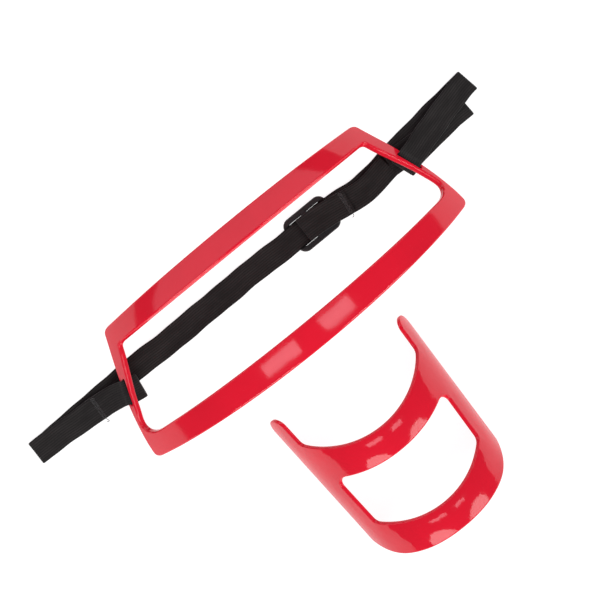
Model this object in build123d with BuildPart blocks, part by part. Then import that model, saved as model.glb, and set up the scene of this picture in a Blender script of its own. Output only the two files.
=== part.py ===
from build123d import *
import math
import os

# A two-piece moulded guard set: an arched strap frame with its elastic, and a saddle guard beside it.
# Millimetres, +Z up, +X along the strap. The origin is the middle of the layout, on the floor.

# ---- strap frame
frame_x = 4.0
frame_roll_radius = 138.0
frame_profile_radius = 185.0
frame_crown_y = 28.0
frame_thickness = 4.0
frame_lift = 1.9
frame_aim_y = 42.0
lower_edge_y = 21.3
lower_corner_y = 32.2
lower_half_width = 118.4
lower_rail_width = 17.6
upper_edge_y = 113.4
upper_corner_y = 110.6
upper_half_width = 95.2
upper_rail_width = 16.3
end_bow = 3.5
window_lower_half = 110.4
window_upper_half = 91.0
window_lower_rise = 5.6
window_end_bow = 2.6
frame_edge_round = 1.0

# ---- strap slot near the inner lip of each end bar
slot_length = 16.6
slot_width = 2.6
slot_x = 107.2
slot_y = 73.2
slot_lean = 0.37
left_tab = -13.0
right_tab = -7.5

# ---- saddle guard
saddle_x = 0.0
saddle_sink = 8.0
saddle_thickness = 2.4
saddle_tip_y = 6.5
saddle_toe_y = -113.5
saddle_half_tip = 51.5
saddle_half_toe = 47.2
toe_foot_y = -86.0
toe_bow = 2.7
prong_height = 16.2
throat_crown_y = -37.4
throat_angle = 49.5
bar_far_y = -55.3
bar_far_angle = 60.5
window_toe_y = -95.2
window_toe_angle = 50.0
side_rail_height = 19.0
side_round = 6.0
saddle_edge_round = 0.8

# ---- elastic strap
strap_width = 15.0
strap_thickness = 1.1
layer_pitch = 1.4
strap_y = 80.8
run_height = 2.35
fold_x = 167.4

# ---- slider
slider_x = 43.4
slider_length = 30.4
slider_width = 22.8
slider_opening = 15.9
slider_end_bar = 4.0
slider_bar_thickness = 1.5
slider_rim_height = 5.2
centre_bar_width = 4.0
centre_bar_low = 4.4
centre_bar_high = 6.1
loop_slack = 2.4
slider_corner = 5.2
bartack_x = 66.4
left_bartack_x = 126.0

floor_layer = strap_thickness / 2
second_layer = floor_layer + layer_pitch
third_layer = second_layer + layer_pitch
fourth_layer = third_layer + layer_pitch


def frame_radius(y, depth):
    """Distance from the roll axis to the frame's surface, depth below its outer face."""
    arc = (frame_profile_radius - depth) ** 2 - (y - frame_crown_y) ** 2
    return frame_roll_radius - frame_profile_radius + math.sqrt(arc)


def frame_height(x, y, depth):
    """Height of that surface over the roll axis."""
    return math.sqrt(frame_radius(y, depth) ** 2 - x**2)


lowest_foot = frame_height(lower_half_width, lower_corner_y, 0)
lowest_foot = lowest_foot * (1 - frame_thickness / frame_roll_radius)
axis_z = frame_lift - lowest_foot


def ray(x, y, depth):
    """Slope of the line from the aiming point on the roll axis through a point of the surface."""
    height = frame_height(x, y, depth)
    return (x / height, (y - frame_aim_y) / height)


def planar_edge(x, y_middle, y_end, x_end):
    """Edge of a rail that a leaning plane cuts, from its middle to its end."""
    drop = frame_height(0, y_middle, 0) - frame_height(x, y_middle, 0)
    whole = frame_height(0, y_middle, 0) - frame_height(x_end, y_middle, 0)
    return y_middle + (y_end - y_middle) * drop / whole


def outer_sides():
    """Lower rail, right end, upper rail and left end of the outline, and the corners after each."""
    lower = []
    for share in (-0.97, -0.75, -0.4, 0.0, 0.4, 0.75, 0.97):
        x = lower_half_width * share
        lower.append(ray(x, planar_edge(x, lower_edge_y, lower_corner_y, lower_half_width), 0))
    end = []
    for share in (0.05, 0.2, 0.4, 0.6, 0.8, 0.96):
        y = lower_corner_y + (upper_corner_y - lower_corner_y) * share
        x = lower_half_width + (upper_half_width - lower_half_width) * share
        end.append((x + end_bow * share * (1 - share) * (5.4 - 2.8 * share), y))
    right = [ray(x, y, 0) for x, y in end]
    left = [ray(-x, y, 0) for x, y in reversed(end)]
    upper = []
    for share in (0.96, 0.6, 0.3, 0.0, -0.3, -0.6, -0.96):
        x = upper_half_width * share
        upper.append(ray(x, planar_edge(x, upper_edge_y, upper_corner_y, upper_half_width), 0))
    corners = [
        ray(lower_half_width, lower_corner_y, 0),
        ray(upper_half_width, upper_corner_y, 0),
        ray(-upper_half_width, upper_corner_y, 0),
        ray(-lower_half_width, lower_corner_y, 0),
    ]
    return [lower, right, upper, left], corners


def window_sides():
    """The same for the window; its upper and end edges are seen at the inner face."""
    low_y = lower_edge_y + lower_rail_width
    high_y = upper_edge_y - upper_rail_width
    low_corner = low_y + window_lower_rise
    lower = []
    for share in (-0.95, -0.7, -0.35, 0.0, 0.35, 0.7, 0.95):
        x = window_lower_half * share
        lower.append(ray(x, planar_edge(x, low_y, low_corner, window_lower_half), 0))
    end = []
    for share in (0.1, 0.28, 0.46, 0.64, 0.82, 0.96):
        y = low_corner + (high_y - low_corner) * share
        x = window_lower_half + (window_upper_half - window_lower_half) * share
        end.append((x + window_end_bow * 6.75 * share * (1 - share) ** 2, y))
    right = [ray(x, y, frame_thickness) for x, y in end]
    left = [ray(-x, y, frame_thickness) for x, y in reversed(end)]
    upper = []
    for share in (0.965, 0.7, 0.35, 0.0, -0.35, -0.7, -0.965):
        upper.append(ray(window_upper_half * share, high_y, frame_thickness))
    corners = [
        ray(window_lower_half, low_corner, frame_thickness * 0.5),
        ray(window_upper_half, high_y, frame_thickness),
        ray(-window_upper_half, high_y, frame_thickness),
        ray(-window_lower_half, low_corner, frame_thickness * 0.5),
    ]
    return [lower, right, upper, left], corners


def toward(a, b):
    """Unit direction from one plan point to another."""
    length = math.hypot(b[0] - a[0], b[1] - a[1])
    return ((b[0] - a[0]) / length, (b[1] - a[1]) / length)


def outline(sides, corners, height):
    """Closed outline of smooth sides joined by rounded corners, at a height over the roll axis."""
    count = len(sides)
    for index in range(count):
        points = [(frame_x + a * height, frame_aim_y + b * height) for a, b in sides[index]]
        before = corners[index - 1]
        after = corners[index]
        before = (frame_x + before[0] * height, frame_aim_y + before[1] * height)
        after = (frame_x + after[0] * height, frame_aim_y + after[1] * height)
        start = toward(before, points[0])
        finish = toward(points[-1], after)
        Spline(*points, tangents=(start, finish))
        following = sides[(index + 1) % count][0]
        following = (frame_x + following[0] * height, frame_aim_y + following[1] * height)
        Bezier(points[-1], after, following)


# ---- strap frame: a shell turned about the roll axis, cut by two outlines that aim at that axis
outer_outline = outer_sides()
window_outline = window_sides()
low_cut = 40.0
high_cut = frame_roll_radius * 1.12
turning_plane = Plane(origin=(frame_x, 0, axis_z), x_dir=(0, 1, 0), z_dir=(1, 0, 0))
profile_low = lower_edge_y - 15
profile_high = upper_corner_y + 12

with BuildPart() as strap_frame:
    with BuildSketch(turning_plane):
        with BuildLine():
            for depth in (0.0, frame_thickness):
                ends = []
                for y in (profile_low, (profile_low + profile_high) / 2, profile_high):
                    ends.append((y, -frame_radius(y, depth)))
                ThreePointArc(*ends)
            for y in (profile_low, profile_high):
                Line((y, -frame_radius(y, 0)), (y, -frame_radius(y, frame_thickness)))
        make_face()
    revolve(axis=Axis((frame_x, 0, axis_z), (0, 1, 0)))
    with BuildSketch(Plane.XY.offset(axis_z + low_cut)):
        with BuildLine():
            outline(outer_outline[0], outer_outline[1], low_cut)
        make_face()
    with BuildSketch(Plane.XY.offset(axis_z + high_cut)):
        with BuildLine():
            outline(outer_outline[0], outer_outline[1], high_cut)
        make_face()
    loft(ruled=True, mode=Mode.INTERSECT)
    with BuildSketch(Plane.XY.offset(axis_z + low_cut)):
        with BuildLine():
            outline(window_outline[0], window_outline[1], low_cut)
        make_face()
    with BuildSketch(Plane.XY.offset(axis_z + high_cut)):
        with BuildLine():
            outline(window_outline[0], window_outline[1], high_cut)
        make_face()
    loft(ruled=True, mode=Mode.SUBTRACT)
    fillet(strap_frame.edges(), radius=frame_edge_round)
    for side in (-1, 1):
        ends = []
        for along in (-5.0, 5.0):
            x = side * (slot_x - slot_lean * along)
            y = slot_y + along
            ends.append(Vector(frame_x + x, y, axis_z + frame_height(x, y, 0)))
        middle = (ends[0] + ends[1]) * 0.5
        along_bar = (ends[1] - ends[0]).normalized()
        outward = Vector(middle.X - frame_x, 0, middle.Z - axis_z).normalized()
        across = along_bar.cross(outward).normalized()
        with BuildSketch(Plane(origin=middle, x_dir=along_bar, z_dir=across.cross(along_bar))):
            SlotOverall(slot_length, slot_width)
        extrude(amount=frame_thickness * 2.2, both=True, mode=Mode.SUBTRACT)
strap_frame.part.label = "strap_frame"


# ---- saddle guard: a shell turned about a level axis below the floor, cut by side-view outlines
def shell_radius(y):
    """Distance from the shell's axis to its outer face, narrowing evenly towards the toe."""
    tip = math.hypot(saddle_half_tip, saddle_sink)
    toe = math.hypot(saddle_half_toe, saddle_sink)
    return tip + (toe - tip) * (y - saddle_tip_y) / (toe_foot_y - saddle_tip_y)


def crown_height(y):
    """Height of the outer face over the floor along the crown."""
    return shell_radius(y) - saddle_sink


side_plane = Plane(origin=(saddle_x, 0, 0), x_dir=(0, 1, 0), z_dir=(1, 0, 0))
shell_plane = Plane(origin=(saddle_x, 0, -saddle_sink), x_dir=(0, 1, 0), z_dir=(1, 0, 0))
sky = saddle_half_tip * 1.5
throat_top = crown_height(throat_crown_y)
throat_run = 1 / math.tan(math.radians(throat_angle))
throat_foot_y = throat_crown_y + (throat_top - prong_height) * throat_run
throat_sky_y = throat_crown_y - (sky - throat_top) * throat_run
nose = prong_height / 2
bar_top = crown_height(bar_far_y)
bar_run = 1 / math.tan(math.radians(bar_far_angle))
toe_run = 1 / math.tan(math.radians(window_toe_angle))
toe_top = crown_height(window_toe_y)
shell_tip_y = saddle_tip_y + 8
shell_toe_y = saddle_toe_y - 8

# The toe is cut open in side view, along an arc from the crown down to the foot of each side rail.
toe_crown = crown_height(saddle_toe_y)
toe_length = math.hypot(toe_foot_y - saddle_toe_y, toe_crown)
toe_middle_y = (saddle_toe_y + toe_foot_y) / 2 - toe_bow * toe_crown / toe_length
toe_middle_z = toe_crown / 2 - toe_bow * (toe_foot_y - saddle_toe_y) / toe_length

with BuildPart() as saddle_guard:
    with BuildSketch(shell_plane):
        with BuildLine():
            Polyline(
                (shell_tip_y, -shell_radius(shell_tip_y)),
                (shell_toe_y, -shell_radius(shell_toe_y)),
                (shell_toe_y, saddle_thickness - shell_radius(shell_toe_y)),
                (shell_tip_y, saddle_thickness - shell_radius(shell_tip_y)),
                close=True,
            )
        make_face()
    revolve(axis=Axis((saddle_x, 0, -saddle_sink), (0, 1, 0)))
    with BuildSketch(side_plane):
        with BuildLine():
            FilletPolyline(
                (throat_sky_y, sky),
                (throat_foot_y, prong_height),
                (saddle_tip_y, prong_height),
                (saddle_tip_y, 0.0),
                (saddle_tip_y - nose * 1.2, 0.0),
                (saddle_tip_y - nose * 1.2, -sky),
                (saddle_tip_y + 30, -sky),
                (saddle_tip_y + 30, sky),
                radius=(side_round, nose * 0.98, nose * 0.98, 0.01, 0.01, 0.01),
            )
            Line((saddle_tip_y + 30, sky), (throat_sky_y, sky))
        make_face()
    extrude(amount=saddle_half_tip * 1.3, both=True, mode=Mode.SUBTRACT)
    with BuildSketch(side_plane):
        with BuildLine():
            FilletPolyline(
                (bar_far_y - (sky - bar_top) * bar_run, sky),
                (bar_far_y + (bar_top - side_rail_height) * bar_run, side_rail_height),
                (window_toe_y + (toe_top - side_rail_height) * toe_run, side_rail_height),
                (window_toe_y - (sky - toe_top) * toe_run, sky),
                radius=(side_round * 0.75, side_round),
            )
            Line(
                (window_toe_y - (sky - toe_top) * toe_run, sky),
                (bar_far_y - (sky - bar_top) * bar_run, sky),
            )
        make_face()
    extrude(amount=saddle_half_tip * 1.3, both=True, mode=Mode.SUBTRACT)
    with BuildSketch(side_plane):
        with BuildLine():
            ThreePointArc((saddle_toe_y, toe_crown), (toe_middle_y, toe_middle_z), (toe_foot_y, 0.0))
            Polyline(
                (toe_foot_y, 0.0),
                (toe_foot_y, -sky),
                (saddle_toe_y - sky, -sky),
                (saddle_toe_y - sky, sky),
                (saddle_toe_y, sky),
                (saddle_toe_y, toe_crown),
            )
        make_face()
    extrude(amount=saddle_half_tip * 1.3, both=True, mode=Mode.SUBTRACT)
    with Locations((saddle_x, (saddle_tip_y + saddle_toe_y) / 2, 0)):
        Box(
            saddle_half_tip * 3,
            (saddle_tip_y - saddle_toe_y) * 1.5,
            sky * 2,
            align=(Align.CENTER, Align.CENTER, Align.MAX),
            mode=Mode.SUBTRACT,
        )
    rim = saddle_guard.edges().filter_by(lambda e: e.bounding_box().max.Z < 0.01)
    upper_edges = saddle_guard.edges() - rim
    fillet(upper_edges, radius=saddle_edge_round)
saddle_guard.part.label = "saddle_guard"


# ---- slider: low end bars under the strap, a raised middle bar between two rims
with BuildPart() as strap_slider:
    with BuildSketch(Plane.XY):
        with Locations((slider_x, strap_y)):
            RectangleRounded(slider_length, slider_width, slider_corner)
    extrude(amount=slider_rim_height)
    fillet(strap_slider.faces().sort_by(Axis.Z)[-1].edges(), radius=1.3)
    with Locations((slider_x, strap_y, slider_bar_thickness)):
        Box(
            slider_length * 2,
            slider_opening,
            slider_rim_height * 2,
            align=(Align.CENTER, Align.CENTER, Align.MIN),
            mode=Mode.SUBTRACT,
        )
    with BuildSketch(Plane.XY):
        with Locations((slider_x, strap_y)):
            RectangleRounded(slider_length - 2 * slider_end_bar, slider_opening, 1.2)
    extrude(amount=slider_rim_height, mode=Mode.SUBTRACT)
    with BuildSketch(Plane.XZ.offset(-strap_y)):
        with Locations((slider_x, (centre_bar_low + centre_bar_high) / 2)):
            RectangleRounded(centre_bar_width, centre_bar_high - centre_bar_low, 0.7)
    extrude(amount=slider_opening / 2 + 2.2, both=True)
strap_slider.part.label = "strap_slider"


# ---- elastic: stretches of one 15 mm band, each a band of even thickness along its own path
def band_plane(x, y, turn):
    """Upright plane through a plan point, its first axis turned from +X."""
    angle = math.radians(turn)
    along = (math.cos(angle), math.sin(angle), 0)
    return Plane(origin=(x, y, 0), x_dir=along, z_dir=(along[1], -along[0], 0))


def band(plane, points, radii):
    """A flat band: the path is drawn in the plane and the width runs either side of it."""
    with BuildSketch(plane) as section:
        with BuildLine():
            FilletPolyline(*points, radius=radii)
        trace(line_width=strap_thickness)
    extrude(section.sketch, amount=strap_width / 2, both=True)


fold_radius = layer_pitch * 0.49
bend = 1.3

# Where a band crosses a slot it runs square to the bar, so its plane is turned by the bar's lean.
slot_turn = math.degrees(math.atan(slot_lean))
square = math.cos(math.radians(slot_turn))
aside = math.sin(math.radians(slot_turn))
bar_radius = frame_radius(slot_y, 0)
slot_angle = math.asin(slot_x / bar_radius)


def on_bar(x, depth):
    """Distance out from the slot and height of the bar's point at x on the outer face, then inward."""
    angle = math.asin(x / bar_radius)
    radius = bar_radius - depth
    return (radius * math.sin(angle) - slot_x) * square, axis_z + radius * math.cos(angle)


def slot_path(top, top_end, low, low_end, turn):
    """Over the bar's foot, through the slot, round inside the lip and back out beneath the bar."""
    foot = on_bar(bar_foot_x, 0)
    mouth = on_bar(slot_x, 0)
    exit_point = on_bar(slot_x, frame_thickness)
    face = toward(mouth, foot)
    away = (-face[1], face[0])
    inward = toward(mouth, exit_point)
    clear = strap_thickness / 2 + 0.32
    beside = (foot[0] + away[0] * clear, foot[1] + away[1] * clear)
    gap = clear / (-inward[0] * away[0] - inward[1] * away[1])
    apex = (mouth[0] - inward[0] * gap, mouth[1] - inward[1] * gap)
    inside = (exit_point[0] + inward[0] * 2.0, exit_point[1] + inward[1] * 2.0)
    sag = inside[1] - (inside[0] - turn) * 0.32
    points = [
        (top_end, top),
        (beside[0] + 5.6, top),
        beside,
        apex,
        inside,
        (turn, sag),
        (turn, low),
        (low_end, low),
    ]
    return points, [bend * 1.5, 1.0, 1.15, bend, 1.05, 1.05]


bar_share = (slot_y - lower_corner_y) / (upper_corner_y - lower_corner_y)
bar_foot_x = lower_half_width + (upper_half_width - lower_half_width) * bar_share
bar_foot_x = bar_foot_x + end_bow * bar_share * (1 - bar_share) * (5.4 - 2.8 * bar_share)

# The left anchor loop runs over the bar, in through the slot and back beneath to its own seam.
left_end = (left_bartack_x - slot_x) / square + 2.4
with BuildPart() as elastic_left_loop:
    path, radii = slot_path(third_layer, left_end, second_layer, left_end, left_tab)
    band(band_plane(frame_x - slot_x, slot_y, 180 - slot_turn), path, radii)
elastic_left_loop.part.label = "elastic_left_loop"

left_start_x = frame_x - slot_x - left_end * square - 2.9
with BuildPart() as elastic_left_fold:
    band(
        band_plane(0, strap_y - 0.2, 0.8),
        [
            (left_start_x, third_layer - 0.3),
            (left_start_x - 6.0, second_layer),
            (-fold_x, second_layer),
            (-fold_x, floor_layer),
            (-92.0, floor_layer),
        ],
        [bend, fold_radius, fold_radius],
    )
elastic_left_fold.part.label = "elastic_left_fold"

with BuildPart() as elastic_centre_run:
    band(
        band_plane(0, strap_y, 0),
        [
            (-91.7, floor_layer),
            (-84.0, floor_layer),
            (-76.0, run_height),
            (78.0, run_height),
            (87.0, floor_layer),
            (96.6, floor_layer),
        ],
        [bend * 2, bend * 2, bend * 2, bend * 2],
    )
elastic_centre_run.part.label = "elastic_centre_run"

right_turn = 6.0
right_start_x = 97.6
right_reach = (fold_x - right_start_x) / math.cos(math.radians(right_turn))
with BuildPart() as elastic_right_fold:
    band(
        band_plane(right_start_x, strap_y, right_turn),
        [
            (0.0, floor_layer),
            (right_reach, floor_layer),
            (right_reach, second_layer + 0.6),
            (right_reach - 3.4, second_layer + 0.9),
        ],
        [1.0, 0.9],
    )
elastic_right_fold.part.label = "elastic_right_fold"

# The right slot is threaded the same way; its upper and lower layers go on in pieces of their own.
right_end = 15.0
with BuildPart() as elastic_right_slot:
    path, radii = slot_path(fourth_layer, right_end, third_layer, right_end - 3.0, right_tab)
    band(band_plane(frame_x + slot_x, slot_y, slot_turn), path, radii)
elastic_right_slot.part.label = "elastic_right_slot"

top_turn = 13.5
top_x = frame_x + slot_x + right_end * square
top_y = slot_y + right_end * aside
top_reach = (fold_x - 5.4 - top_x) / math.cos(math.radians(top_turn))
with BuildPart() as elastic_right_top:
    band(
        band_plane(top_x, top_y, top_turn),
        [
            (1.1, fourth_layer),
            (top_reach - 3.4, fourth_layer),
            (top_reach, third_layer - 0.3),
        ],
        [bend * 2],
    )
elastic_right_top.part.label = "elastic_right_top"

return_turn = 1.0
return_x = frame_x + slot_x + (right_end - 3.0) * square
return_y = slot_y + (right_end - 3.0) * aside
return_fold = fold_x - 11.0 - return_x
with BuildPart() as elastic_right_return:
    band(
        band_plane(return_x, return_y, return_turn),
        [
            (2.8, third_layer),
            (return_fold, third_layer),
            (return_fold, second_layer),
            (right_start_x - return_x, second_layer),
        ],
        [fold_radius, fold_radius],
    )
elastic_right_return.part.label = "elastic_right_return"

loop_height = run_height + strap_thickness + 0.3
loop_top = centre_bar_high + 0.2 + strap_thickness / 2
loop_left = slider_x - centre_bar_width / 2 - strap_thickness / 2 - loop_slack
with BuildPart() as elastic_slider_loop:
    band(
        band_plane(0, strap_y, 0),
        [
            (bartack_x + 2.5, loop_height),
            (loop_left, loop_height),
            (loop_left, loop_top),
            (slider_x + 5.0, loop_top),
            (slider_x + 19.0, loop_height + strap_thickness + 0.2),
            (bartack_x + 2.5, loop_height + strap_thickness + 0.2),
        ],
        [1.2, 1.2, bend, bend],
    )
elastic_slider_loop.part.label = "elastic_slider_loop"

return_start_x = bartack_x + 3.9
return_end_y = return_y - (return_x - right_start_x) * math.tan(math.radians(return_turn))
layer_drop = math.degrees(math.atan2(return_end_y - strap_y, right_start_x - return_start_x))
layer_run = (right_start_x - return_start_x - 1.6) / math.cos(math.radians(layer_drop))
with BuildPart() as elastic_return_layer:
    band(
        band_plane(return_start_x, strap_y, layer_drop),
        [
            (0.0, loop_height),
            (layer_run * 0.38, loop_height),
            (layer_run * 0.72, second_layer),
            (layer_run, second_layer),
        ],
        [bend * 2, bend * 2],
    )
elastic_return_layer.part.label = "elastic_return_layer"

# ---- the two sewn seams, each a low pad of thread across the band
with BuildPart() as slider_bartack:
    with BuildSketch(Plane.XY.offset(loop_height + strap_thickness * 1.5 + 0.25)):
        with Locations((bartack_x, strap_y)):
            RectangleRounded(2.4, strap_width - 1.6, 0.6)
    extrude(amount=0.35)
slider_bartack.part.label = "slider_bartack"

seam_reach = (left_bartack_x - slot_x) / square
seam_x = frame_x - slot_x - seam_reach * square
seam_y = slot_y + seam_reach * aside
with BuildPart() as left_bartack:
    with BuildSketch(Plane.XY.offset(third_layer + strap_thickness / 2 + 0.05)):
        with Locations(Location((seam_x, seam_y, 0), (0, 0, -slot_turn))):
            RectangleRounded(2.4, strap_width - 1.6, 0.6)
    extrude(amount=0.35)
left_bartack.part.label = "left_bartack"

os.makedirs("parts", exist_ok=True)
export_step(strap_frame.part, "parts/strap_frame.step")
export_step(saddle_guard.part, "parts/saddle_guard.step")
export_step(strap_slider.part, "parts/strap_slider.step")
export_step(elastic_left_loop.part, "parts/elastic_left_loop.step")
export_step(elastic_left_fold.part, "parts/elastic_left_fold.step")
export_step(elastic_centre_run.part, "parts/elastic_centre_run.step")
export_step(elastic_right_fold.part, "parts/elastic_right_fold.step")
export_step(elastic_right_slot.part, "parts/elastic_right_slot.step")
export_step(elastic_right_top.part, "parts/elastic_right_top.step")
export_step(elastic_right_return.part, "parts/elastic_right_return.step")
export_step(elastic_slider_loop.part, "parts/elastic_slider_loop.step")
export_step(elastic_return_layer.part, "parts/elastic_return_layer.step")
export_step(slider_bartack.part, "parts/slider_bartack.step")
export_step(left_bartack.part, "parts/left_bartack.step")
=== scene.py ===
"""Strapped guard frame and saddle guard: finishes, elastic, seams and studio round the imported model."""
import math

import bmesh
import bpy
import numpy as np
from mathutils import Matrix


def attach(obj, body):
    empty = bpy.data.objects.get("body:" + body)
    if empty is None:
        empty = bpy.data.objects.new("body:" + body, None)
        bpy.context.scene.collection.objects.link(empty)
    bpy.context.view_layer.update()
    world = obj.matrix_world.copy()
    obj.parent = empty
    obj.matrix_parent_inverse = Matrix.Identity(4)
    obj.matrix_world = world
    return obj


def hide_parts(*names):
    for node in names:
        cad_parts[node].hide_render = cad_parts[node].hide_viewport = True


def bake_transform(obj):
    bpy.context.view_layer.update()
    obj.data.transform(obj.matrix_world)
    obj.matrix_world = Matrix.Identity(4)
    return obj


bl_info = {
    "name": "Strapped Guard Set",
    "version": (1, 0, 0),
    "blender": (4, 5, 0),
    "location": "3D View > Sidebar > Guard Set",
    "description": "Moulded guard frame on an elastic strap, with a saddle guard beside it",
    "category": "Object",
}

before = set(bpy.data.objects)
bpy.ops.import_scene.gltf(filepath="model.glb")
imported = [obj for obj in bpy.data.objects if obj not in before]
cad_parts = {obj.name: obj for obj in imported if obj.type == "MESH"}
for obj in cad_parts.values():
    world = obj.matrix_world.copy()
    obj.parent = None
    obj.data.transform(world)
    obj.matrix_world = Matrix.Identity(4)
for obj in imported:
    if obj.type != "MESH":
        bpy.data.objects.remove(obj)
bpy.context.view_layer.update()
MM = 0.001

# Where the elastic goes through the two end bars of the frame, in millimetres.
FRAME_X = 4.0
SLOT_X = 107.2
SLOT_Y = 73.2
SLOT_LEAN = math.radians(20.3)
SLIDER_X = 43.4

# Heights of the middle of each layer of the folded elastic over the floor, in millimetres.
FLOOR_LAYER = 0.55
SECOND_LAYER = 1.95
THIRD_LAYER = 3.35
FOURTH_LAYER = 4.75
RUN_LAYER = 2.35
LOOP_LAYER = 3.75

# How wide a bell softens the route of a band, in millimetres: its folds, and its swing from side to side.
FOLD_SOFTNESS = 0.75
SWAY_SOFTNESS = 3.2

# How much wider the band is where it is pressed through the slider, and how far that reaches.
PRESSED_SHARE = 0.035
PRESSED_REACH = 15.0

# Saddle guard: its axis is this far under the floor, and its bands lean and widen towards the rim.
SADDLE_SINK = 8.0
RIDGE_LEAN = 0.70
BAND_GROWTH = 0.145

# Light colours: the overhead strips are a little violet, and the panel behind is pink.
STRIP_COLOUR = (1.0, 0.92, 1.0)
PANEL_COLOUR = (1.0, 0.76, 0.84)

# Where the middle of the view meets the floor, in metres, and how much light the floor gives off.
VIEW_CENTRE = (0.00955, 0.0507)
FLOOR_GLOW = 0.88


# ---------------------------------------------------------------- settings
class PlasticSettings(bpy.types.PropertyGroup):
    """Finish of the moulded red guards and of the black slider."""

    shell_colour: bpy.props.FloatVectorProperty(
        name="Shell colour",
        description="Body colour of the moulded frame and saddle guard",
        subtype="COLOR",
        size=3,
        default=(0.76, 0.0070, 0.0270),
    )
    shell_roughness: bpy.props.FloatProperty(
        name="Shell roughness",
        description="How soft the reflections on the guards are",
        subtype="FACTOR",
        default=0.085,
    )
    crown: bpy.props.FloatProperty(
        name="Band crown",
        description="How far the middle of the saddle guard's two cross bands stands over their edges",
        unit="LENGTH",
        default=0.0009,
    )
    slider_colour: bpy.props.FloatVectorProperty(
        name="Slider colour",
        description="Body colour of the strap slider",
        subtype="COLOR",
        size=3,
        default=(0.0075, 0.0075, 0.008),
    )


class ElasticSettings(bpy.types.PropertyGroup):
    """Size and finish of the ribbed elastic band."""

    width: bpy.props.FloatProperty(
        name="Width",
        description="Width of the elastic band",
        unit="LENGTH",
        default=0.015,
    )
    thickness: bpy.props.FloatProperty(
        name="Thickness",
        description="Thickness of the elastic band at a rib",
        unit="LENGTH",
        default=0.0011,
    )
    ribs: bpy.props.IntProperty(
        name="Ribs",
        description="Rubber-cored ribs across the band",
        default=11,
    )
    rib_depth: bpy.props.FloatProperty(
        name="Rib depth",
        description="Depth of the groove between two ribs",
        unit="LENGTH",
        default=0.00011,
    )
    colour: bpy.props.FloatVectorProperty(
        name="Colour",
        description="Colour of the woven cover",
        subtype="COLOR",
        size=3,
        default=(0.0105, 0.0098, 0.0095),
    )


class ThreadSettings(bpy.types.PropertyGroup):
    """The sewing thread of the two seams."""

    diameter: bpy.props.FloatProperty(
        name="Diameter",
        description="Thickness of the sewing thread",
        unit="LENGTH",
        default=0.00034,
    )
    colour: bpy.props.FloatVectorProperty(
        name="Colour",
        description="Colour of the sewing thread",
        subtype="COLOR",
        size=3,
        default=(0.012, 0.0115, 0.0115),
    )


class StageSettings(bpy.types.PropertyGroup):
    """Floor, lights and camera."""

    floor_colour: bpy.props.FloatVectorProperty(
        name="Floor colour",
        description="Colour of the studio floor",
        subtype="COLOR",
        size=3,
        default=(0.3, 0.3, 0.3),
    )
    view_width: bpy.props.FloatProperty(
        name="View width",
        description="Width of floor that the camera sees",
        unit="LENGTH",
        default=0.3528,
    )
    camera_height: bpy.props.FloatProperty(
        name="Camera height",
        description="Height of the camera over the floor",
        unit="LENGTH",
        default=10.0,
    )
    turn: bpy.props.FloatProperty(
        name="Camera turn",
        description="How far the camera is turned about the upright axis",
        unit="ROTATION",
        default=math.radians(-39.4),
    )


# ---------------------------------------------------------------- node helpers
def node(tree, kind, **values):
    """Adds a node; values name sockets by their label with spaces as underscores, or node attributes."""
    made = tree.nodes.new(kind)
    for name, value in values.items():
        if hasattr(made, name):
            setattr(made, name, value)
        else:
            made.inputs[name.replace("_", " ")].default_value = value
    return made


def join(tree, source, target):
    tree.links.new(source, target)


def maths(tree, operation, a, b=None, clamp=False):
    """One Math node on sockets or numbers, giving its output socket."""
    made = tree.nodes.new("ShaderNodeMath")
    made.operation = operation
    made.use_clamp = clamp
    for slot, value in zip(made.inputs, (a, b)):
        if value is None:
            continue
        if isinstance(value, (int, float)):
            slot.default_value = value
        else:
            tree.links.new(value, slot)
    return made.outputs[0]


def ramp(tree, source, low, high, to_low=0.0, to_high=1.0):
    """A clamped straight-line map of one value range on to another."""
    made = tree.nodes.new("ShaderNodeMapRange")
    made.clamp = True
    tree.links.new(source, made.inputs["Value"])
    made.inputs["From Min"].default_value = low
    made.inputs["From Max"].default_value = high
    made.inputs["To Min"].default_value = to_low
    made.inputs["To Max"].default_value = to_high
    return made.outputs["Result"]


def blend_colours(tree, share, first, second):
    """Colour mix of two plain colours or sockets by a share socket."""
    made = tree.nodes.new("ShaderNodeMix")
    made.data_type = "RGBA"
    tree.links.new(share, made.inputs["Factor"])
    for slot, value in ((made.inputs["A"], first), (made.inputs["B"], second)):
        if isinstance(value, (tuple, list)):
            slot.default_value = (*value, 1.0)
        else:
            tree.links.new(value, slot)
    return made.outputs["Result"]


def group(name, inputs, outputs):
    """An empty shader group with float or vector inputs, and its input and output nodes."""
    tree = bpy.data.node_groups.new(name, "ShaderNodeTree")
    for label, kind, value in inputs:
        made = tree.interface.new_socket(name=label, in_out="INPUT", socket_type=kind)
        if value is not None:
            made.default_value = value
    for label, kind in outputs:
        tree.interface.new_socket(name=label, in_out="OUTPUT", socket_type=kind)
    return tree, tree.nodes.new("NodeGroupInput"), tree.nodes.new("NodeGroupOutput")


def placed(tree, source, vector, **values):
    """Places a group in a material, feeds it coordinates and sets its named inputs."""
    made = tree.nodes.new("ShaderNodeGroup")
    made.node_tree = source
    tree.links.new(vector, made.inputs["Vector"])
    for name, value in values.items():
        made.inputs[name.replace("_", " ")].default_value = value
    return made


def finish_material(name):
    """A new material with a Principled shader, giving (material, tree, shader)."""
    material = bpy.data.materials.new(name)
    material.use_nodes = True
    tree = material.node_tree
    tree.nodes.clear()
    shader = tree.nodes.new("ShaderNodeBsdfPrincipled")
    output = tree.nodes.new("ShaderNodeOutputMaterial")
    tree.links.new(shader.outputs[0], output.inputs["Surface"])
    return material, tree, shader


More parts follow.
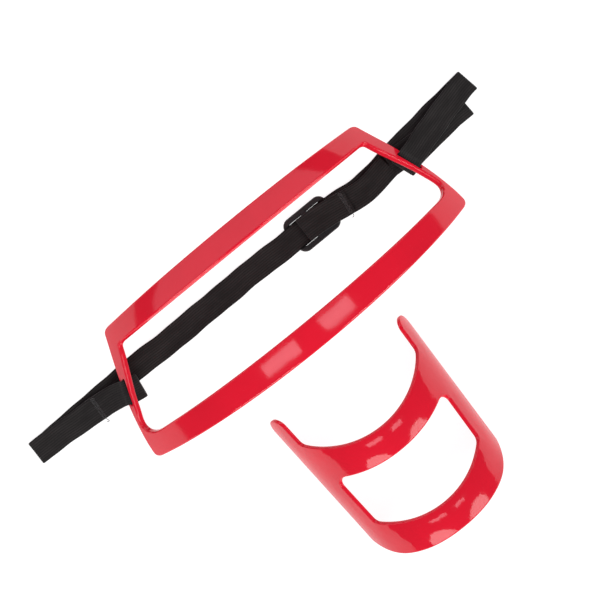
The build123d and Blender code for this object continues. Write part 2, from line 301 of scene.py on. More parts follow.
def bump(tree, height, distance, strength=1.0, below=None):
    """A Bump node on a height socket, on top of another normal if one is given."""
    made = tree.nodes.new("ShaderNodeBump")
    made.inputs["Distance"].default_value = distance
    made.inputs["Strength"].default_value = strength
    tree.links.new(height, made.inputs["Height"])
    if below is not None:
        tree.links.new(below, made.inputs["Normal"])
    return made.outputs[0]


# ---------------------------------------------------------------- shared effects
def moulded_surface():
    """Moulded plastic: slow ripples from cooling, flow clouds, fine hairline scuffs and dust specks."""
    tree, given, out = group(
        "Moulded Surface",
        [
            ("Vector", "NodeSocketVector", None),
            ("Ripple Scale", "NodeSocketFloat", 55.0),
            ("Scuff Scale", "NodeSocketFloat", 260.0),
            ("Dust Scale", "NodeSocketFloat", 900.0),
        ],
        [
            ("Ripple", "NodeSocketFloat"),
            ("Cloud", "NodeSocketFloat"),
            ("Scuff", "NodeSocketFloat"),
            ("Dust", "NodeSocketFloat"),
        ],
    )
    ripple = node(tree, "ShaderNodeTexNoise", Detail=1.0, Roughness=0.4)
    join(tree, given.outputs["Vector"], ripple.inputs["Vector"])
    join(tree, given.outputs["Ripple Scale"], ripple.inputs["Scale"])
    cloud = node(tree, "ShaderNodeTexNoise", Scale=24.0, Detail=4.0, Distortion=0.6)
    join(tree, given.outputs["Vector"], cloud.inputs["Vector"])
    stretch = node(tree, "ShaderNodeMapping", vector_type="POINT")
    stretch.inputs["Scale"].default_value = (0.12, 1.0, 1.0)
    stretch.inputs["Rotation"].default_value = (0.3, 0.2, 0.5)
    join(tree, given.outputs["Vector"], stretch.inputs["Vector"])
    hair = node(tree, "ShaderNodeTexNoise", Detail=5.0, Roughness=0.75)
    join(tree, stretch.outputs[0], hair.inputs["Vector"])
    join(tree, given.outputs["Scuff Scale"], hair.inputs["Scale"])
    rubbed = ramp(tree, cloud.outputs["Fac"], 0.52, 0.68)
    lines = ramp(tree, hair.outputs["Fac"], 0.60, 0.74)
    scuff = maths(tree, "MULTIPLY", rubbed, lines)
    dust = node(tree, "ShaderNodeTexVoronoi", feature="F1")
    join(tree, given.outputs["Vector"], dust.inputs["Vector"])
    join(tree, given.outputs["Dust Scale"], dust.inputs["Scale"])
    speck = ramp(tree, dust.outputs["Distance"], 0.10, 0.05)
    rare = node(tree, "ShaderNodeTexNoise", Scale=180.0, Detail=0.0)
    join(tree, given.outputs["Vector"], rare.inputs["Vector"])
    speck = maths(tree, "MULTIPLY", speck, ramp(tree, rare.outputs["Fac"], 0.66, 0.70))
    join(tree, ripple.outputs["Fac"], out.inputs["Ripple"])
    join(tree, cloud.outputs["Fac"], out.inputs["Cloud"])
    join(tree, scuff, out.inputs["Scuff"])
    join(tree, speck, out.inputs["Dust"])
    return tree


def ribbed_weave():
    """Woven elastic on the band's own map: ribs across it, pick threads along it, fuzz over both."""
    tree, given, out = group(
        "Ribbed Weave",
        [
            ("Vector", "NodeSocketVector", None),
            ("Ribs", "NodeSocketFloat", 11.0),
            ("Picks", "NodeSocketFloat", 1400.0),
        ],
        [
            ("Groove Shade", "NodeSocketFloat"),
            ("Height", "NodeSocketFloat"),
            ("Fuzz", "NodeSocketFloat"),
            ("Wear", "NodeSocketFloat"),
        ],
    )
    axes = tree.nodes.new("ShaderNodeSeparateXYZ")
    join(tree, given.outputs["Vector"], axes.inputs[0])
    along, across = axes.outputs["X"], axes.outputs["Y"]
    turn = maths(tree, "MULTIPLY", across, given.outputs["Ribs"])
    rib = maths(tree, "COSINE", maths(tree, "MULTIPLY", turn, 2 * math.pi))
    # mask for painted shade: one in the grooves between the ribs
    groove = ramp(tree, rib, -0.2, -0.95)
    # neighbouring ribs are half a pick out of step, so the threads look plaited
    step = maths(tree, "MULTIPLY", maths(tree, "ROUND", turn), 0.5)
    pick = maths(tree, "MULTIPLY", along, given.outputs["Picks"])
    pick = maths(tree, "MULTIPLY", maths(tree, "ADD", pick, step), 2 * math.pi)
    pick = maths(tree, "SINE", pick)
    fuzz = node(tree, "ShaderNodeTexNoise", Scale=1.0, Detail=6.0, Roughness=0.7)
    stretched = node(tree, "ShaderNodeMapping", vector_type="POINT")
    stretched.inputs["Scale"].default_value = (900.0, 60.0, 1.0)
    join(tree, given.outputs["Vector"], stretched.inputs["Vector"])
    join(tree, stretched.outputs[0], fuzz.inputs["Vector"])
    wear = node(tree, "ShaderNodeTexNoise", Scale=1.0, Detail=3.0)
    slow = node(tree, "ShaderNodeMapping", vector_type="POINT")
    slow.inputs["Scale"].default_value = (60.0, 3.0, 1.0)
    join(tree, given.outputs["Vector"], slow.inputs["Vector"])
    join(tree, slow.outputs[0], wear.inputs["Vector"])
    height = maths(tree, "MULTIPLY", pick, 0.35)
    height = maths(tree, "ADD", height, maths(tree, "MULTIPLY", rib, 0.5))
    height = maths(tree, "ADD", height, maths(tree, "MULTIPLY", fuzz.outputs["Fac"], 0.5))
    join(tree, groove, out.inputs["Groove Shade"])
    join(tree, height, out.inputs["Height"])
    join(tree, fuzz.outputs["Fac"], out.inputs["Fuzz"])
    join(tree, wear.outputs["Fac"], out.inputs["Wear"])
    return tree


# ---------------------------------------------------------------- finishes
def shell_finish(settings, effect):
    """Gloss red moulding with faint flow clouds, cooling ripples, hairline scuffs and a little dust."""
    material, tree, shader = finish_material("Gloss Red Moulding")
    place = tree.nodes.new("ShaderNodeTexCoord").outputs["Object"]
    marks = placed(tree, effect, place, Ripple_Scale=46.0, Scuff_Scale=340.0, Dust_Scale=1500.0)
    colour = tuple(settings.shell_colour)
    deep = tuple(0.90 * c for c in colour)
    tone = blend_colours(tree, ramp(tree, marks.outputs["Cloud"], 0.3, 0.7), colour, deep)
    tone = blend_colours(
        tree, maths(tree, "MULTIPLY", marks.outputs["Dust"], 0.25), tone, (0.8, 0.55, 0.55)
    )
    join(tree, tone, shader.inputs["Base Color"])
    rough = maths(tree, "MULTIPLY", marks.outputs["Scuff"], 0.16)
    rough = maths(tree, "ADD", rough, ramp(tree, marks.outputs["Cloud"], 0.3, 0.7, -0.015, 0.02))
    rough = maths(tree, "ADD", rough, float(settings.shell_roughness))
    join(tree, rough, shader.inputs["Roughness"])
    swell = bump(tree, marks.outputs["Ripple"], 0.00022)
    join(tree, bump(tree, marks.outputs["Scuff"], 0.000003, 1.0, swell), shader.inputs["Normal"])
    shader.inputs["IOR"].default_value = 1.5
    shader.inputs["Subsurface Weight"].default_value = 0.0
    return material


def slider_finish(settings, effect):
    """Black injection-moulded slider: satin, slightly orange-peeled, rubbed paler here and there."""
    material, tree, shader = finish_material("Black Slider Moulding")
    place = tree.nodes.new("ShaderNodeTexCoord").outputs["Object"]
    marks = placed(tree, effect, place, Ripple_Scale=420.0, Scuff_Scale=700.0, Dust_Scale=1800.0)
    colour = tuple(settings.slider_colour)
    rubbed = tuple(3.2 * c for c in colour)
    tone = blend_colours(tree, marks.outputs["Scuff"], colour, rubbed)
    tone = blend_colours(
        tree, maths(tree, "MULTIPLY", marks.outputs["Dust"], 0.4), tone, (0.20, 0.19, 0.18)
    )
    join(tree, tone, shader.inputs["Base Color"])
    rough = maths(tree, "MULTIPLY", marks.outputs["Scuff"], 0.2)
    join(tree, maths(tree, "ADD", rough, 0.38), shader.inputs["Roughness"])
    shader.inputs["Specular IOR Level"].default_value = 0.35
    join(tree, bump(tree, marks.outputs["Ripple"], 0.00003), shader.inputs["Normal"])
    return material


def elastic_finish(settings, effect):
    """Black woven elastic: painted shade in the grooves between the ribs, greyer rubbed rib tops, soft sheen.
    """
    material, tree, shader = finish_material("Black Ribbed Elastic")
    place = node(tree, "ShaderNodeUVMap", uv_map="Band").outputs[0]
    weave = placed(tree, effect, place, Ribs=float(settings.ribs), Picks=1250.0)
    colour = tuple(settings.colour)
    # painted shade: the elastic's colour halved in the grooves between the ribs
    groove = tuple(0.5 * c for c in colour)
    rubbed = tuple(2.6 * c for c in colour)
    worn = maths(tree, "MULTIPLY", weave.outputs["Wear"], weave.outputs["Fuzz"])
    tone = blend_colours(tree, ramp(tree, worn, 0.16, 0.40), colour, rubbed)
    tone = blend_colours(tree, weave.outputs["Groove Shade"], tone, groove)
    join(tree, tone, shader.inputs["Base Color"])
    join(tree, ramp(tree, weave.outputs["Fuzz"], 0.3, 0.7, 0.72, 0.9), shader.inputs["Roughness"])
    join(tree, bump(tree, weave.outputs["Height"], 0.00006), shader.inputs["Normal"])
    shader.inputs["Sheen Weight"].default_value = 0.12
    shader.inputs["Sheen Roughness"].default_value = 0.45
    shader.inputs["Specular IOR Level"].default_value = 0.22
    return material


def thread_finish(settings):
    """Black sewing thread: three twisted strands along the thread's own map, with painted shade in the
    crevices between them.
    """
    material, tree, shader = finish_material("Black Sewing Thread")
    place = node(tree, "ShaderNodeUVMap", uv_map="Band").outputs[0]
    axes = tree.nodes.new("ShaderNodeSeparateXYZ")
    join(tree, place, axes.inputs[0])
    twist = maths(tree, "MULTIPLY", axes.outputs["X"], 1500.0)
    twist = maths(tree, "ADD", twist, maths(tree, "MULTIPLY", axes.outputs["Y"], 3.0))
    strand = maths(tree, "COSINE", maths(tree, "MULTIPLY", twist, 2 * math.pi))
    colour = tuple(settings.colour)
    # painted shade: the thread's colour darkened in the crevices between the twisted strands
    strand_shade = tuple(0.4 * c for c in colour)
    tone = blend_colours(tree, ramp(tree, strand, 0.0, -0.9), colour, strand_shade)
    join(tree, tone, shader.inputs["Base Color"])
    join(tree, bump(tree, strand, 0.00003), shader.inputs["Normal"])
    shader.inputs["Roughness"].default_value = 0.5
    shader.inputs["Sheen Weight"].default_value = 0.3
    return material


# ---------------------------------------------------------------- geometry
def smoothed(values, sigma, step):
    """Each column averaged along its run with a bell curve of that width, its ends held."""
    reach = int(4 * sigma / step) + 1
    kernel = np.exp(-0.5 * (np.arange(-reach, reach + 1) * step / sigma) ** 2)
    kernel = kernel / kernel.sum()
    columns = []
    for column in values.T:
        padded = np.pad(column, reach, mode="reflect", reflect_type="odd")
        columns.append(np.convolve(padded, kernel, mode="valid"))
    return np.array(columns).T


def route_of(stations, spacing):
    """A soft line through the stations.

    The stations (x, y, z, lean) are joined by straight runs, sampled every tenth of a millimetre, and
    averaged with a narrow bell in x and z, so folds stay tight, and a wide one in y and lean, so the
    band swings from side to side slowly. The result is sampled again at even spacing.
    """
    stations = np.array(stations, float)
    run = np.linalg.norm(np.diff(stations[:, :3], axis=0), axis=1)
    reached = np.concatenate([[0.0], np.cumsum(run)])
    step = 0.1
    ticks = np.arange(0.0, reached[-1], step)
    dense = np.array([np.interp(ticks, reached, column) for column in stations.T]).T
    dense[:, [0, 2]] = smoothed(dense[:, [0, 2]], FOLD_SOFTNESS, step)
    dense[:, [1, 3]] = smoothed(dense[:, [1, 3]], SWAY_SOFTNESS, step)
    run = np.linalg.norm(np.diff(dense[:, :3], axis=0), axis=1)
    reached = np.concatenate([[0.0], np.cumsum(run)])
    count = int(reached[-1] / spacing) + 1
    even = np.linspace(0.0, reached[-1], count)
    return even, np.array([np.interp(even, reached, column) for column in dense.T]).T


def mesh_object(name, points, faces, uvs):
    """Mesh object in metres from arrays of points, quads and one map coordinate for each face corner.

    A triangle is a quad that names one of its corners twice in a row; the second naming is left out.
    """
    keep = faces != np.roll(faces, -1, axis=1)
    sides = keep.sum(axis=1)
    starts = np.concatenate([[0], np.cumsum(sides)[:-1]])
    mesh = bpy.data.meshes.new(name)
    mesh.vertices.add(len(points))
    mesh.vertices.foreach_set("co", points.astype(np.float32).ravel())
    mesh.loops.add(int(sides.sum()))
    mesh.loops.foreach_set("vertex_index", faces[keep].astype(np.int32))
    mesh.polygons.add(len(faces))
    mesh.polygons.foreach_set("loop_start", starts.astype(np.int32))
    mesh.polygons.foreach_set("use_smooth", np.ones(len(faces), bool))
    layer = mesh.uv_layers.new(name="Band")
    layer.data.foreach_set("uv", uvs[keep].astype(np.float32).ravel())
    mesh.update(calc_edges=True)
    mesh.validate()
    made = bpy.data.objects.new(name, mesh)
    bpy.context.scene.collection.objects.link(made)
    return made


def quads_round(rows, ring):
    """Quads of a tube of rows rings, each of ring points, as indices and as (row, place) corners."""
    i, j = np.meshgrid(np.arange(rows - 1), np.arange(ring), indexing="ij")
    i, j = i.ravel(), j.ravel()
    k = (j + 1) % ring
    faces = np.stack([i * ring + j, (i + 1) * ring + j, (i + 1) * ring + k, i * ring + k], axis=1)
    return faces, i, j


def strip_map(reached, row, near, far):
    """Map corners of a tube's quads: the run reached at each row, and the places round the ring."""
    return np.stack(
        [
            np.stack([reached[row], near], 1),
            np.stack([reached[row + 1], near], 1),
            np.stack([reached[row + 1], far], 1),
            np.stack([reached[row], far], 1),
        ],
        axis=1,
    )


def band_surface(name, stations, settings, spacing, phase):
    """A ribbed elastic band carried along its route.

    At each place on the route the section runs across the band from -1 to 1 and back underneath. Its
    half thickness falls to nothing at the selvedges like the twelfth power of the place across, and a
    cosine takes the grooves between the ribs off it. The width direction leans as the stations say and
    is kept square to the route, and slow sines make the width and the middle line a little uneven. Where
    it goes through the slider the band is pressed straight and a little wider.
    """
    reached, line = route_of(stations, spacing)
    centre = line[:, :3].copy()
    flat = np.exp(-(((centre[:, 0] - SLIDER_X) / PRESSED_REACH) ** 4))
    sway = 0.16 * np.sin(reached / 7.3 + phase) + 0.10 * np.sin(reached / 2.9 + 2 * phase)
    centre[:, 1] += sway * (1 - 0.8 * flat)
    along = np.gradient(centre, axis=0)
    along /= np.linalg.norm(along, axis=1)[:, None]
    lean = np.radians(line[:, 3])
    wide = np.stack([np.sin(lean), np.cos(lean), np.zeros_like(lean)], axis=1)
    wide -= (wide * along).sum(1)[:, None] * along
    wide /= np.linalg.norm(wide, axis=1)[:, None]
    up = np.cross(along, wide)
    per_side = settings.ribs * 4
    place = np.linspace(-1.0, 1.0, per_side + 1)
    body = np.sqrt(np.clip(1 - np.abs(place) ** 12, 0, 1))
    rib = np.cos(math.pi * settings.ribs * (place + 1))
    depth = settings.rib_depth / MM / 2
    half = (settings.thickness / MM / 2 - depth * (0.5 + 0.5 * rib)) * body
    across = np.concatenate([place, place[-2:0:-1]])
    lift = np.concatenate([half, -half[-2:0:-1]])
    ring = len(across)
    width = settings.width / MM / 2 * (1 + 0.012 * np.sin(reached / 5.1 + phase) * (1 - flat))
    width *= 1 + PRESSED_SHARE * flat
    points = (
        centre[:, None, :]
        + wide[:, None, :] * (width[:, None] * across[None, :])[:, :, None]
        + up[:, None, :] * lift[None, :, None]
    )
    rows = len(centre)
    faces, row, spot = quads_round(rows, ring)
    far = (spot + 1) % ring
    v = (across + 1) / 2
    u = reached * MM
    uvs = strip_map(u, row, v[spot], v[far])
    top = np.arange(per_side)
    low = (ring - top) % ring
    next_low = (ring - top - 1) % ring
    start = np.stack([top, top + 1, next_low, low], axis=1)
    close = start[:, ::-1] + (rows - 1) * ring
    caps = np.concatenate([start, close])
    cap_uv = np.stack([u[caps // ring], v[caps % ring]], axis=2)
    faces = np.concatenate([faces, caps])
    uvs = np.concatenate([uvs, cap_uv])
    return outward(name, points.reshape(-1, 3) * MM, faces, uvs), float(reached[-1] * MM)


def outward(name, points, faces, uvs):
    """The object of these quads, all turned over if their signed volume is negative."""
    a, b, c, d = (points[faces[:, k]] for k in range(4))
    volume = (a * np.cross(b, c)).sum() + (a * np.cross(c, d)).sum()
    if volume < 0:
        faces = faces[:, ::-1]
        uvs = uvs[:, ::-1]
    return mesh_object(name, points, faces, uvs)


def thread_surface(name, path, settings):
    """Sewing thread: a round tube of eight sides carried along a path, its ends drawn to a point."""
    path = np.array(path, float)
    along = np.gradient(path, axis=0)
    along /= np.linalg.norm(along, axis=1)[:, None]
    side = np.cross(along, np.array([0.0, 0.0, 1.0]) + 0.001)
    side /= np.linalg.norm(side, axis=1)[:, None]
    up = np.cross(side, along)
    turn = np.linspace(0, 2 * math.pi, 8, endpoint=False)
    radius = np.full(len(path), settings.diameter / MM / 2)
    radius[[0, -1]] *= 0.15
    points = path[:, None, :] + radius[:, None, None] * (
        side[:, None, :] * np.cos(turn)[None, :, None] + up[:, None, :] * np.sin(turn)[None, :, None]
    )
    faces, row, spot = quads_round(len(path), 8)
    reached = np.concatenate([[0.0], np.cumsum(np.linalg.norm(np.diff(path, axis=0), axis=1))]) * MM
    uvs = strip_map(reached, row, spot / 8, (spot + 1) / 8)
    last = (len(path) - 1) * 8
    caps = np.array([[0, 1, 2, 3], [0, 3, 4, 7], [4, 5, 6, 7]])
    ends = np.concatenate([caps, caps[:, ::-1] + last])
    cap_uv = np.zeros((len(ends), 4, 2))
    faces = np.concatenate([faces, ends])
    uvs = np.concatenate([uvs, cap_uv])
    return outward(name, points.reshape(-1, 3) * MM, faces, uvs)


def seam_path(middle, lean, top, half_width, tail):
    """Zigzag seam across the band and back again, then a loose tail over its lower edge.

    The needle's place across the band grows evenly while its place along it is a triangle wave, and the
    thread's height follows the root of that wave's cosine, so it dips into the band at each stitch.
    """
    stitches = 34
    count = np.linspace(0.0, 1.0, 420)
    turn = np.arcsin(np.sin(count * math.pi * stitches))
    across = half_width * (1 - 2 * np.abs(2 * count - 1))
    wave = turn / (math.pi / 2)
    dip = np.abs(np.cos(turn))
    along = 1.25 * wave + 0.12 * np.sin(count * 61)
    height = top - 0.10 + 0.24 * np.sqrt(dip) + 0.10 * (count > 0.5)
    tail = np.array(tail, float)
    steps = np.linspace(0.0, 1.0, 40)[1:]
    spots = np.concatenate([[[across[-1], along[-1], height[-1]]], tail])
    knots = np.linspace(0.0, 1.0, len(spots))
    loose = np.array([np.interp(steps, knots, column) for column in spots.T]).T
    loose = smoothed(np.concatenate([spots[:1], loose]), 0.06, 1 / 40)[1:]
    across = np.concatenate([across, loose[:, 0]])
    along = np.concatenate([along, loose[:, 1]])
    height = np.concatenate([height, loose[:, 2]])
    lean = math.radians(lean)
    return np.stack(
        [
            middle[0] + across * math.sin(lean) + along * math.cos(lean),
            middle[1] + across * math.cos(lean) - along * math.sin(lean),
            height,
        ],
        axis=1,
    )


def through_slot(side, rows):
    """Stations from (distance out from the slot, side step, height, lean share) rows of one end bar."""
    rows = np.array(rows, float)
    out = rows[:, 0]
    x = FRAME_X + side * (SLOT_X + out * math.cos(SLOT_LEAN))
    y = SLOT_Y + out * math.sin(SLOT_LEAN) + rows[:, 1]
    lean = -side * math.degrees(SLOT_LEAN) * rows[:, 3]
    return np.stack([x, y, rows[:, 2], lean], axis=1).tolist()


def main_route():
    """The elastic from its left seam through both end bars to where it comes in under the right bar."""
    left = through_slot(
        -1,
        [
            (3.0, 0.0, SECOND_LAYER, 0.8),
            (-4.0, 0.3, SECOND_LAYER, 0.6),
            (-9.4, 1.5, SECOND_LAYER, 0.35),
            (-9.4, 1.5, 4.9, 0.35),
            (-4.62, 0.2, 7.28, 0.9),
            (0.69, 0.0, 11.38, 1.0),
            (3.08, 0.0, 7.75, 1.0),
            (8.68, -0.7, THIRD_LAYER, 0.7),
        ],
    )
    right = through_slot(
        1,
        [
            (8.68, -0.5, FOURTH_LAYER, 0.9),
            (3.08, 0.0, 7.75, 1.0),
            (0.69, 0.0, 11.38, 1.0),
            (-4.62, 0.3, 7.28, 1.0),
            (-6.4, 0.8, 6.3, 1.0),
            (-6.4, 0.8, THIRD_LAYER, 0.9),
            (3.0, 0.3, THIRD_LAYER, 0.6),
        ],
    )
    return (
        [
            (-126.5, 77.3, SECOND_LAYER, 2),
            (-118.0, 76.6, SECOND_LAYER, 6),
            (-112.0, 75.6, SECOND_LAYER, 12),
        ]
        + left
        + [
            (-118.0, 76.6, THIRD_LAYER, 8),
            (-127.0, 77.4, THIRD_LAYER, 3),
            (-133.5, 77.8, SECOND_LAYER, 2),
            (-150.0, 78.9, SECOND_LAYER, 2),
            (-167.6, 79.4, SECOND_LAYER, 1),
            (-167.6, 79.4, FLOOR_LAYER, 1),
            (-150.0, 79.5, FLOOR_LAYER, 0),
            (-128.0, 80.2, FLOOR_LAYER, -1),
            (-109.0, 80.8, FLOOR_LAYER, -1),
            (-91.7, 81.3, FLOOR_LAYER, 0),
            (-84.0, 81.3, FLOOR_LAYER, 0),
            (-76.0, 81.0, RUN_LAYER, 1),
            (-57.0, 80.8, RUN_LAYER, 0),
            (-48.0, 80.8, RUN_LAYER, -1),
            (-29.0, 81.2, RUN_LAYER, -1),
            (-10.0, 81.4, RUN_LAYER, 0),
            (4.0, 81.2, RUN_LAYER, 1),
            (14.0, 80.9, RUN_LAYER, 1),
            (28.0, 80.8, RUN_LAYER, 0),
            (52.0, 80.8, RUN_LAYER, 0),
            (60.0, 80.75, RUN_LAYER, 0),
            (66.0, 80.45, RUN_LAYER, 2),
            (71.5, 79.2, RUN_LAYER, 5),
            (78.0, 78.6, RUN_LAYER, 1),
            (87.0, 79.1, FLOOR_LAYER, -4),
            (96.0, 80.0, FLOOR_LAYER, -6),
            (112.0, 82.9, FLOOR_LAYER, -7),
            (131.0, 84.5, FLOOR_LAYER, -6),
            (150.0, 86.5, FLOOR_LAYER, -7),
            (167.6, 88.5, FLOOR_LAYER, -9),
            (167.6, 88.5, 3.0, -10),
            (163.0, 87.4, 3.1, -12),
            (158.2, 86.2, FOURTH_LAYER, -13),
            (140.0, 81.8, FOURTH_LAYER, -14),
            (126.0, 78.2, FOURTH_LAYER, -15),
        ]
        + right
        + [
            (122.0, 75.7, THIRD_LAYER, -6),
            (131.0, 76.2, THIRD_LAYER, -4),
            (140.0, 77.0, THIRD_LAYER, -5),
            (150.0, 77.7, THIRD_LAYER, -3),
            (157.7, 78.1, THIRD_LAYER, -2),
            (157.7, 78.1, SECOND_LAYER, -2),
            (140.0, 77.7, SECOND_LAYER, 0),
            (122.0, 77.6, SECOND_LAYER, 0),
            (108.0, 78.4, SECOND_LAYER, 2),
            (100.4, 78.8, SECOND_LAYER, 1),
        ]
    )


def tail_route():
    """The doubled end of the elastic, from under the right bar, round the slider's middle bar to its seam."""
    return [
        (100.2, 78.8, SECOND_LAYER, 1),
        (97.5, 78.6, SECOND_LAYER, 0),
        (93.6, 77.7, 2.7, -2),
        (89.5, 76.8, LOOP_LAYER, -3),
        (79.0, 76.2, LOOP_LAYER, 0),
        (70.0, 76.8, LOOP_LAYER, 4),
        (63.0, 78.8, LOOP_LAYER, 6),
        (57.5, 80.2, LOOP_LAYER, 3),
        (46.0, 80.8, LOOP_LAYER, 1),
        (37.4, 80.9, LOOP_LAYER, 1),
        (37.2, 80.9, 6.85, 1),
        (45.5, 80.7, 7.0, 3),
        (52.0, 79.9, 6.7, 6),
        (59.3, 78.8, 6.2, 7),
        (64.0, 78.0, 5.05, 7),
        (69.0, 77.3, 5.05, 6),
    ]


def smoothstep(values):
    """Zero below 0, one above 1, and the usual cubic between."""
    values = np.clip(values, 0.0, 1.0)
    return values * values * (3 - 2 * values)


def crowned_shell(source, name, crown):
    """The saddle guard with its two cross bands crowned along a middle ridge.

    A merged copy of the shell is sliced square to its length, and each point is moved along the ray from
    the shell's axis by the crown times a half less the square of its distance from the band's ridge, over
    the band's half width. Ridge and half width follow the height, as the bands' edges do, and the move
    fades out down the side rails.
    """
    mesh = bmesh.new()
    mesh.from_mesh(source.data)
    bmesh.ops.remove_doubles(mesh, verts=mesh.verts, dist=1e-6)
    slice_step = 2.0
    for y in np.arange(-112.0, -14.0, slice_step) * MM:
        bmesh.ops.bisect_plane(
            mesh,
            geom=list(mesh.verts) + list(mesh.edges) + list(mesh.faces),
            plane_co=(0.0, y, 0.0),
            plane_no=(0.0, 1.0, 0.0),
            dist=1e-6,
        )
    bmesh.ops.triangulate(mesh, faces=mesh.faces)
    data = bpy.data.meshes.new(name)
    mesh.to_mesh(data)
    mesh.free()
    points = np.empty(len(data.vertices) * 3, np.float32)
    data.vertices.foreach_get("co", points)
    points = points.reshape(-1, 3).astype(float)
    x, y, z = points.T / MM
    ray = np.stack([x, np.zeros_like(x), z + SADDLE_SINK], axis=1)
    ray /= np.linalg.norm(ray, axis=1)[:, None]
    angle = np.degrees(np.arctan2(np.abs(ray[:, 0]), ray[:, 2]))
    rise = np.zeros_like(x)
    full, fade = 1.15, 0.5
    # cross bar and toe band: height of the crown, its ridge there, half its width there, share of crown
    for top, ridge, half, share in ((42.4, -46.4, 8.95, 1.0), (39.2, -104.3, 9.2, 1.3)):
        middle = ridge + (top - z) * RIDGE_LEAN
        away = np.abs(y - middle) / (half + (top - z) * BAND_GROWTH)
        near = 1 - smoothstep((away - full) / fade)
        rise += share * crown * (0.5 - np.clip(away, 0, full) ** 2) * near
    fade_from, fade_over = 36.0, 20.0
    rise *= 1 - smoothstep((angle - fade_from) / fade_over)
    points += ray * rise[:, None]
    data.vertices.foreach_set("co", points.astype(np.float32).ravel())
    data.polygons.foreach_set("use_smooth", np.ones(len(data.polygons), bool))
    data.update()
    made = bpy.data.objects.new(name, data)
    bpy.context.scene.collection.objects.link(made)
    weighted = made.modifiers.new("Even Normals", "WEIGHTED_NORMAL")
    weighted.weight = 90
    return made


# ---------------------------------------------------------------- operators
class GUARD_OT_shells(bpy.types.Operator):
    """Give the moulded frame and the saddle guard their gloss red finish"""

    bl_idname = "guard.shells"
    bl_label = "Finish Guards"

    def execute(self, context):
        material = shell_finish(context.scene.guard_plastic, shared("Moulded Surface", moulded_surface))
        paint(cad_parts["strap_frame"], material)
        crown = context.scene.guard_plastic.crown
        saddle = crowned_shell(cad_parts["saddle_guard"], "saddle_shell", crown)
        paint(saddle, material)
        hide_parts("saddle_guard")
        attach(saddle, "saddle")
        return {"FINISHED"}


class GUARD_OT_slider(bpy.types.Operator):
    """Give the strap slider its satin black finish"""

    bl_idname = "guard.slider"
    bl_label = "Finish Slider"

    def execute(self, context):
        material = slider_finish(context.scene.guard_plastic, shared("Moulded Surface", moulded_surface))
        paint(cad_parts["strap_slider"], material)
        return {"FINISHED"}


class GUARD_OT_elastic(bpy.types.Operator):
    """Lay the ribbed elastic through the frame, and its doubled end round the slider"""

    bl_idname = "guard.elastic"
    bl_label = "Make Elastic"

    def execute(self, context):
        settings = context.scene.guard_elastic
        material = elastic_finish(settings, shared("Ribbed Weave", ribbed_weave))
        band, length = band_surface("elastic_band", main_route(), settings, 0.9, 0.4)
        band.data.materials.append(material)
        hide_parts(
            "elastic_left_loop",
            "elastic_left_fold",
            "elastic_centre_run",
            "elastic_right_fold",
            "elastic_right_slot",
            "elastic_right_top",
            "elastic_right_return",
        )
        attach(band, "strap_frame_set")
        tail, length = band_surface("elastic_doubled_end", tail_route(), settings, 0.7, 2.1)
        tail.data.materials.append(material)
        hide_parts("elastic_slider_loop", "elastic_return_layer")
        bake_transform(tail)
        return {"FINISHED"}


class GUARD_OT_seams(bpy.types.Operator):
    """Sew the zigzag seams that close the two loops of elastic"""

    bl_idname = "guard.seams"
    bl_label = "Sew Seams"

    def execute(self, context):
        settings = context.scene.guard_thread
        material = thread_finish(settings)
        near = seam_path(
            (66.2, 77.9),
            6.5,
            5.62,
            6.7,
            [(-7.6, 0.4, 5.2), (-8.6, 0.6, 3.2), (-9.2, 0.2, 1.6), (-9.5, -0.9, 1.2)],
        )
        seam = thread_surface("slider_seam_thread", near, settings)
        seam.data.materials.append(material)
        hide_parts("slider_bartack")
        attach(seam, "slider")
        far = seam_path(
            (-122.4, 77.0),
            4.0,
            3.92,
            6.9,
            [(-7.8, 0.3, 3.6), (-8.9, 0.7, 2.0), (-9.9, 1.2, 0.6), (-10.2, 0.2, 0.3), (-9.6, -0.6, 0.3)],
        )
        seam = thread_surface("left_seam_thread", far, settings)
        seam.data.materials.append(material)
        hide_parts("left_bartack")
        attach(seam, "strap_frame_set")
        return {"FINISHED"}


class GUARD_OT_stage(bpy.types.Operator):
    """Set up the pale floor, the soft studio light and the camera"""

    bl_idname = "guard.stage"
    bl_label = "Set Up Studio"

    def execute(self, context):
        settings = context.scene.guard_stage
        scene = context.scene
        floor(settings)
        studio_light(scene)
        data = bpy.data.cameras.new("Studio Camera")
        data.sensor_width = 36.0
        data.lens = 36.0 * settings.camera_height / settings.view_width
        data.clip_end = 100.0
        camera = bpy.data.objects.new("Studio Camera", data)
        camera.location = (*VIEW_CENTRE, settings.camera_height)
        camera.rotation_euler = (0.0, 0.0, settings.turn)
        scene.collection.objects.link(camera)
        scene.camera = camera
        scene.view_settings.view_transform = "Standard"
        scene.view_settings.look = "None"
        return {"FINISHED"}


def shared(name, make):
    """The shader group of that name, made once."""
    return bpy.data.node_groups.get(name) or make()


def paint(target, material):
    """Puts one material in every slot of a carried-over piece."""
    if not target.material_slots:
        target.data.materials.append(material)
    for slot in target.material_slots:
        slot.material = material


def floor(settings):
    """A wide plain floor a hair under the object, lit mostly from within so it stays pale."""
    half = 20.0
    corners = np.array([(-half, -half, 0), (half, -half, 0), (half, half, 0), (-half, half, 0)], float)
    corners[:, 2] = -0.00005
    material, tree, shader = finish_material("Studio Floor")
    shader.inputs["Base Color"].default_value = (*settings.floor_colour, 1.0)
    shader.inputs["Roughness"].default_value = 0.9
    shader.inputs["Specular IOR Level"].default_value = 0.0
    shader.inputs["Emission Color"].default_value = (1.0, 1.0, 1.0, 1.0)
    shader.inputs["Emission Strength"].default_value = FLOOR_GLOW
    sheet = mesh_object("studio_floor", corners, np.array([[0, 1, 2, 3]]), np.zeros((1, 4, 2)))
    sheet.data.materials.append(material)


